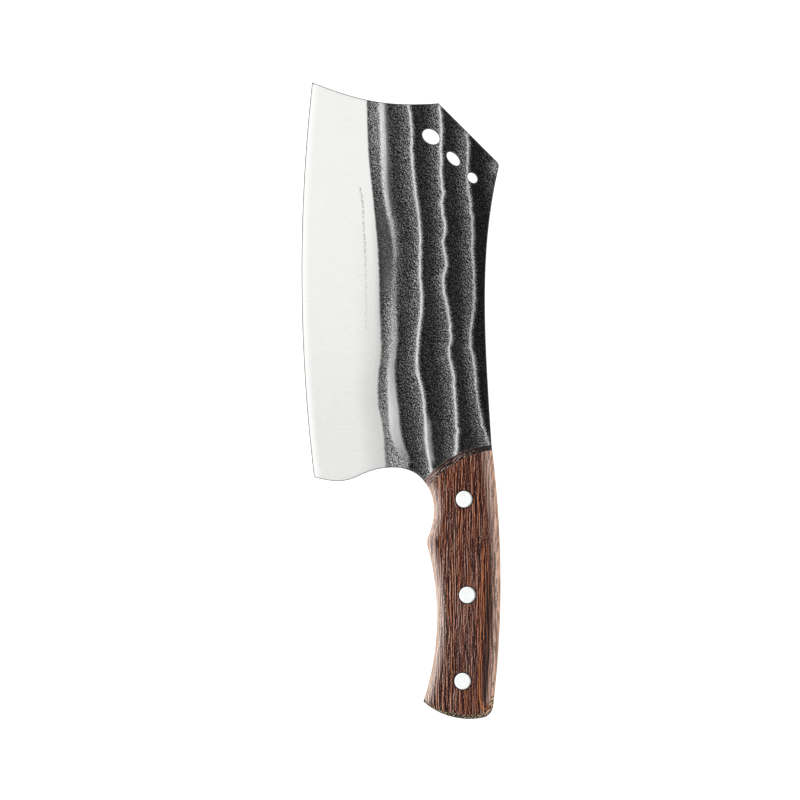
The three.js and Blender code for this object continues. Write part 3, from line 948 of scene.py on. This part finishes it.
# The front facet's colour toward the back, where it is darker.
FACET_DARK = (0.006, 0.004, 0.004)
FRONT_PALE = (0.4, 0.29, 0.26)
CORNER_DARK = (0.07, 0.03, 0.015)
CORNER_LIGHT = (0.6, 0.42, 0.27)
RIVET_GAP_SHADE = (0.004, 0.003, 0.003)
FIBRE_TILT = math.radians(24)
SAW_TURN = (0, 0, math.radians(48))
SAW_WAVES = 5.9


def drift(n, scale, detail, reach):
    """A sideways shift of up to half the reach, slowly changing along the handle."""
    shift = n.noise(n.place(scale), detail=detail, output="Color")
    return n.vector("MULTIPLY", n.vector("SUBTRACT", shift, (0.5, 0.5, 0.5)), (reach, 0, reach))


def fibre_coordinates(n):
    """Fibres run along the handle, wander a little and are cut through at the rounded edges."""
    straight = n.place((1, 1, 1), (0, FIBRE_TILT, 0))
    fibre = n.vector("ADD", straight, drift(n, (0.05, 0.02, 0.05), 2, 3.0))
    return n.vector("ADD", fibre, drift(n, (0.3, 0.16, 0.3), 1, 0.25))


def strands(n, fibre, scale, gap):
    """Streaks along the fibres: noise less the same noise a small gap to the side."""
    here = n.vector("MULTIPLY", fibre, scale)
    beside = n.vector("ADD", here, (scale[0] * gap, 0, 0))
    return n.minus(n.noise(here, detail=0), n.noise(beside, detail=0))


def wood_fibres(n, along, height):
    """Figure and colour of the fibres, browner toward the butt, with a dark and a bright vein."""
    fibre = fibre_coordinates(n)
    veins = strands(n, fibre, (1.8, 0.03, 0.5), 0.31)
    dashes = strands(n, fibre, (2.2, 0.16, 0.9), 0.26)
    hairs = strands(n, fibre, (1.6, 1.1, 1.2), 0.34)
    broad = n.noise(n.vector("MULTIPLY", fibre, (0.12, 0.012, 0.06)), detail=2)
    figure = n.plus(veins, n.times(dashes, 0.8), n.times(hairs, 0.36), n.swing(broad, 0.06))
    figure = n.plus(n.times(figure, n.remap(height, 4.5, 8.0, 0.5, 1.0)), 0.455)

    hue = n.noise(n.vector("MULTIPLY", fibre, (1.1, 0.03, 0.5)), detail=1)
    hue = n.linear(hue, 0.35, 0.65, -0.75, 0.75)
    redness = n.clamped(n.plus(n.remap(along, -112.0, -58.0, 0.25, 0.72), hue))
    colour = n.mix(redness, n.ramp(figure, BROWN_FIBRES), n.ramp(figure, RED_FIBRES))
    glints = n.remap(n.plus(dashes, hairs), 0.26, 0.42)
    glints = n.times(glints, n.remap(n.attribute("palm"), 3.0, 14.0, 0.35, 0.12))
    colour = n.mix(glints, colour, GLINT)
    from_vein = n.attribute("dark_vein")
    warm = n.times(n.remap(from_vein, 8.0, 1.5, 0.0, 0.6), n.remap(figure, 0.5, 0.64))
    colour = n.mix(warm, colour, WARM_FIBRE)
    dark = n.times(n.remap(from_vein, 1.7, 0.5, 0.0, 0.92), n.remap(along, -74.0, -92.0),
                   n.remap(veins, 0.3, 0.0, 0.3, 1.0))
    colour = n.mix(dark, colour, VEIN_BLACK)
    bright = n.times(n.remap(n.attribute("bright_vein"), 0.5, 0.1),
                     n.remap(along, -100.0, -138.0, 0.1, 0.85), n.remap(dashes, -0.2, 0.1, 0.4, 1.0))
    return figure, n.mix(bright, colour, VEIN_ORANGE)


def edge_sheen(n, colour, figure, along, height):
    """Painted sheen on the rounded long edges, where the side lights catch them, with painted shade in a
    dark band beside the back one and a tan line along the very outline.
    """
    palm, back = n.attribute("palm"), n.attribute("back")
    from_back = n.times(back, n.linear(along, -95.0, -40.0, 1.0, 0.72))
    # Painted sheen on the rounded edges, strongest near the outline and kept to the upper part of the
    # rounding.
    sheen = n.math("MAXIMUM", n.linear(palm, 5.0, 0.4, 0.0, 0.6), n.linear(from_back, 4.4, 1.8, 0.0, 0.62))
    sheen = n.times(sheen, n.linear(figure, 0.36, 0.64, 0.4, 1.3), n.remap(height, 5.2, 7.9, 0.08, 1.0))
    pale = n.mix(n.remap(from_back, 5.0, 3.0), PALM_SHEEN, BACK_SHEEN)
    pale = n.mix(n.remap(back, 2.0, 1.0, 0.0, 0.55), pale, BACK_RIM_SHEEN)
    # Painted shade in a dark band where the back's rounding begins.
    colour = n.mix(n.times(n.remap(from_back, 6.2, 4.6), 0.35), colour, BACK_SHADE)
    colour = n.mix(sheen, colour, pale)
    # A tan line along the very outline, on the upper part of the rounding.
    corner = n.remap(n.math("MINIMUM", palm, back), 1.2, 0.4, 0.0, 0.45)
    corner = n.times(corner, n.remap(height, 5.6, 7.9, 0.05, 1.0))
    return n.mix(corner, colour, OUTLINE_TAN)


def saw_marks(n):
    """Broken slanting lines left by the saw, from 0 to 1."""
    shift = n.times(n.noise(n.place((0.7, 0.3, 0.3), SAW_TURN), detail=2), 11.0)
    waves = n.math("SINE", n.plus(n.axis("X", SAW_WAVES, SAW_TURN), shift))
    broken = n.remap(n.noise(n.place((1.5, 0.6, 1.0), SAW_TURN), detail=1), 0.38, 0.62)
    return n.times(n.linear(waves, -1.0, 1.0), n.plus(n.times(broken, 0.8), 0.2))


def sawn_front(n, colour, marks, across, height):
    """End grain on the front facet and its lip, darker toward the back and pale toward the palm, with
    painted shade low on the steep part of the front.
    """
    front = n.attribute("front")
    colour = n.mix(n.remap(front, 3.9, 3.5), colour, n.ramp(marks, FRONT_SAWN))
    colour = n.mix(n.remap(front, 1.3, 0.8), colour, n.ramp(marks, LIP_SAWN))
    low_down = n.times(n.remap(front, 2.4, 1.8), n.remap(height, 7.4, 4.5, 0.0, 0.8))
    colour = n.mix(low_down, colour, FRONT_SHADE)
    facet = n.remap(front, 4.0, 3.2)
    colour = n.mix(n.times(facet, n.remap(across, 28.0, 41.0, 0.0, 0.85)), colour, FACET_DARK)
    pale = n.times(facet, n.remap(across, 19.0, 12.0, 0.0, 0.5), n.linear(marks, 0.0, 0.6, 0.5, 1.2))
    return n.mix(pale, colour, FRONT_PALE)


def sawn_butt(n, colour, marks, across):
    """End grain round the butt, paler at its back corner and plain on the flat end."""
    butt = n.attribute("butt")
    corner = n.mix(n.remap(marks, 0.15, 0.7), CORNER_DARK, CORNER_LIGHT)
    sawn = n.mix(n.remap(across, 38.0, 42.0), n.ramp(marks, BUTT_SAWN), corner)
    rounding = n.math("DIVIDE", butt, n.remap(across, 11.0, 26.0, 0.3, 1.0))
    colour = n.mix(n.remap(rounding, 2.4, 1.6), colour, sawn)
    pores = n.noise(n.place((2.2, 2.2, 2.2)), detail=2, roughness=0.6)
    return n.mix(n.remap(butt, 0.6, 0.2), colour, n.ramp(pores, END_GRAIN))


def handle_wood():
    made, n, shader = new_material("handle_wood", {"Specular IOR Level": 0.1})
    across, along = n.axis("X"), n.axis("Y")
    height = n.math("ABSOLUTE", n.minus(n.axis("Z"), MIDDLE))
    figure, colour = wood_fibres(n, along, height)
    colour = edge_sheen(n, colour, figure, along, height)
    marks = saw_marks(n)
    colour = sawn_front(n, colour, marks, across, height)
    colour = sawn_butt(n, colour, marks, across)
    # Painted shade in the gap round each rivet head.
    colour = n.mix(n.remap(n.attribute("rivet"), 0.55, 0.15), colour, RIVET_GAP_SHADE)
    rough = n.linear(figure, 0.3, 0.7, 0.6, 0.42)
    drive(n, shader, Base_Color=colour, Roughness=rough, Normal=n.bump(figure, 0.12, 0.6))
    return made


def rivet_steel():
    made, n, shader = new_material("rivet_steel", {"Metallic": 1.0})
    grain = n.noise(n.place((1.2, 1.2, 1.2)), detail=3, roughness=0.7)
    scuffs = n.noise(n.place((0.5, 5, 1), (0, 0, math.radians(35))), detail=2)
    colour = n.mix(n.remap(grain, 0.4, 0.65), (0.97, 0.98, 0.975), (0.88, 0.9, 0.895))
    # Painted shade on the eased rim of each head, where it meets the wood.
    head_rim_shade = n.remap(n.attribute("radius"), HEAD_RADIUS - 0.2, HEAD_RADIUS - 0.06)
    colour = n.mix(head_rim_shade, colour, (0.02, 0.018, 0.016))
    rough = n.linear(scuffs, 0.3, 0.7, 0.3, 0.4)
    drive(n, shader, Base_Color=colour, Roughness=rough, Normal=n.bump(grain, 0.02, 0.3))
    return made


def epoxy():
    made, n, shader = new_material("epoxy", {"Coat Weight": 0.3})
    clouds = n.noise(n.place((0.4, 0.4, 3)), detail=3)
    colour = n.mix(clouds, (0.02, 0.014, 0.011), (0.07, 0.045, 0.032))
    drive(n, shader, Base_Color=colour, Roughness=n.linear(clouds, 0.3, 0.7, 0.25, 0.45))
    return made


def plain(name, colour, roughness, emission):
    constants = {"Base Color": (*colour, 1), "Roughness": roughness, "Specular IOR Level": 0.2,
                 "Emission Color": (1, 1, 1, 1), "Emission Strength": emission}
    return new_material(name, constants)[0]


# -------- stage


def make_camera():
    """Straight above the cleaver, far off, with its butt at the bottom of the picture."""
    lens, sensor = 600.0, 36.0
    seen = 0.3774  # width that the picture covers at the height of the blade
    aside = -0.0003
    distance = seen * lens / sensor
    data = bpy.data.cameras.new("camera")
    data.lens, data.sensor_width = lens, sensor
    data.clip_end = 30
    camera = bpy.data.objects.new("camera", data)
    camera.location = (aside, 0, MIDDLE * MM + distance)
    bpy.context.scene.collection.objects.link(camera)
    bpy.context.scene.camera = camera


def make_floor():
    half = 6.0
    corners = [(-half, -half, 0), (half, -half, 0), (half, half, 0), (-half, half, 0)]
    floor = make_object("floor", np.array(corners) / MM, [(0, 1, 2, 3)])
    floor.location.z = -0.0001
    floor.data.materials.append(plain("floor", (0.6, 0.6, 0.6), roughness=0.9, emission=0.82))


def area_light(name, centre, target, size, radiance, mirrored=True):
    """A rectangular light that the camera doesn't see and that metal may or may not mirror."""
    data = bpy.data.lights.new(name, "AREA")
    data.shape = "RECTANGLE"
    data.size, data.size_y = size
    data.energy = radiance * math.pi * size[0] * size[1]
    light = bpy.data.objects.new(name, data)
    light.location = centre
    light.rotation_euler = (Vector(target) - Vector(centre)).to_track_quat("-Z", "Y").to_euler()
    light.visible_camera = False
    light.visible_glossy = mirrored
    bpy.context.scene.collection.objects.link(light)


def make_world():
    """A white surround near the horizon that darkens overhead."""
    world = bpy.data.worlds.new("studio")
    bpy.context.scene.world = world
    world.use_nodes = True
    n = Nodes(world.node_tree)
    way = n.add("ShaderNodeTexCoord", output="Generated")
    up = n.add("ShaderNodeSeparateXYZ", {0: way}, output="Z")
    level = n.ramp(up, [(0.0, (1.0, 1.0, 1.0)), (0.25, (1.0, 1.0, 1.0)), (0.6, (0.35, 0.35, 0.35)),
                        (1.0, (0.3, 0.3, 0.3))])
    n.feed(world.node_tree.nodes["Background"].inputs["Color"], level)


def make_stage():
    make_camera()
    make_floor()
    make_world()
    area_light("softbox", (-0.45, 0.0, 0.95), (-0.45, 0, 0), (1.2, 1.7), 1.0)
    area_light("left strip", (-1.0, -0.1, 0.3), (0.0, -0.1, 0.02), (2.0, 0.5), 5.0, mirrored=False)
    area_light("right strip", (1.0, -0.1, 0.3), (0.0, -0.1, 0.02), (2.0, 0.5), 2.5, mirrored=False)
    bpy.context.scene.view_settings.view_transform = "Standard"


# -------- assembly


def place(piece, node, look):
    piece.data.materials.append(look)
    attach(piece, "root")
    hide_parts(node)


def main():
    make_stage()
    steel, wood, bright, glue = blade_steel(), handle_wood(), rivet_steel(), epoxy()
    place(make_blade(), "blade_and_tang", steel)
    for name, side in (("left", 1), ("right", -1)):
        place(make_scale(name + "_wood", side), name + "_scale", wood)
        place(make_epoxy(name + "_epoxy", name + "_epoxy_sheet"), name + "_epoxy_sheet", glue)
    for name, centre in zip(RIVET_NAMES, RIVETS):
        for piece, node in make_rivet(name, centre):
            place(piece, node, bright)


main()
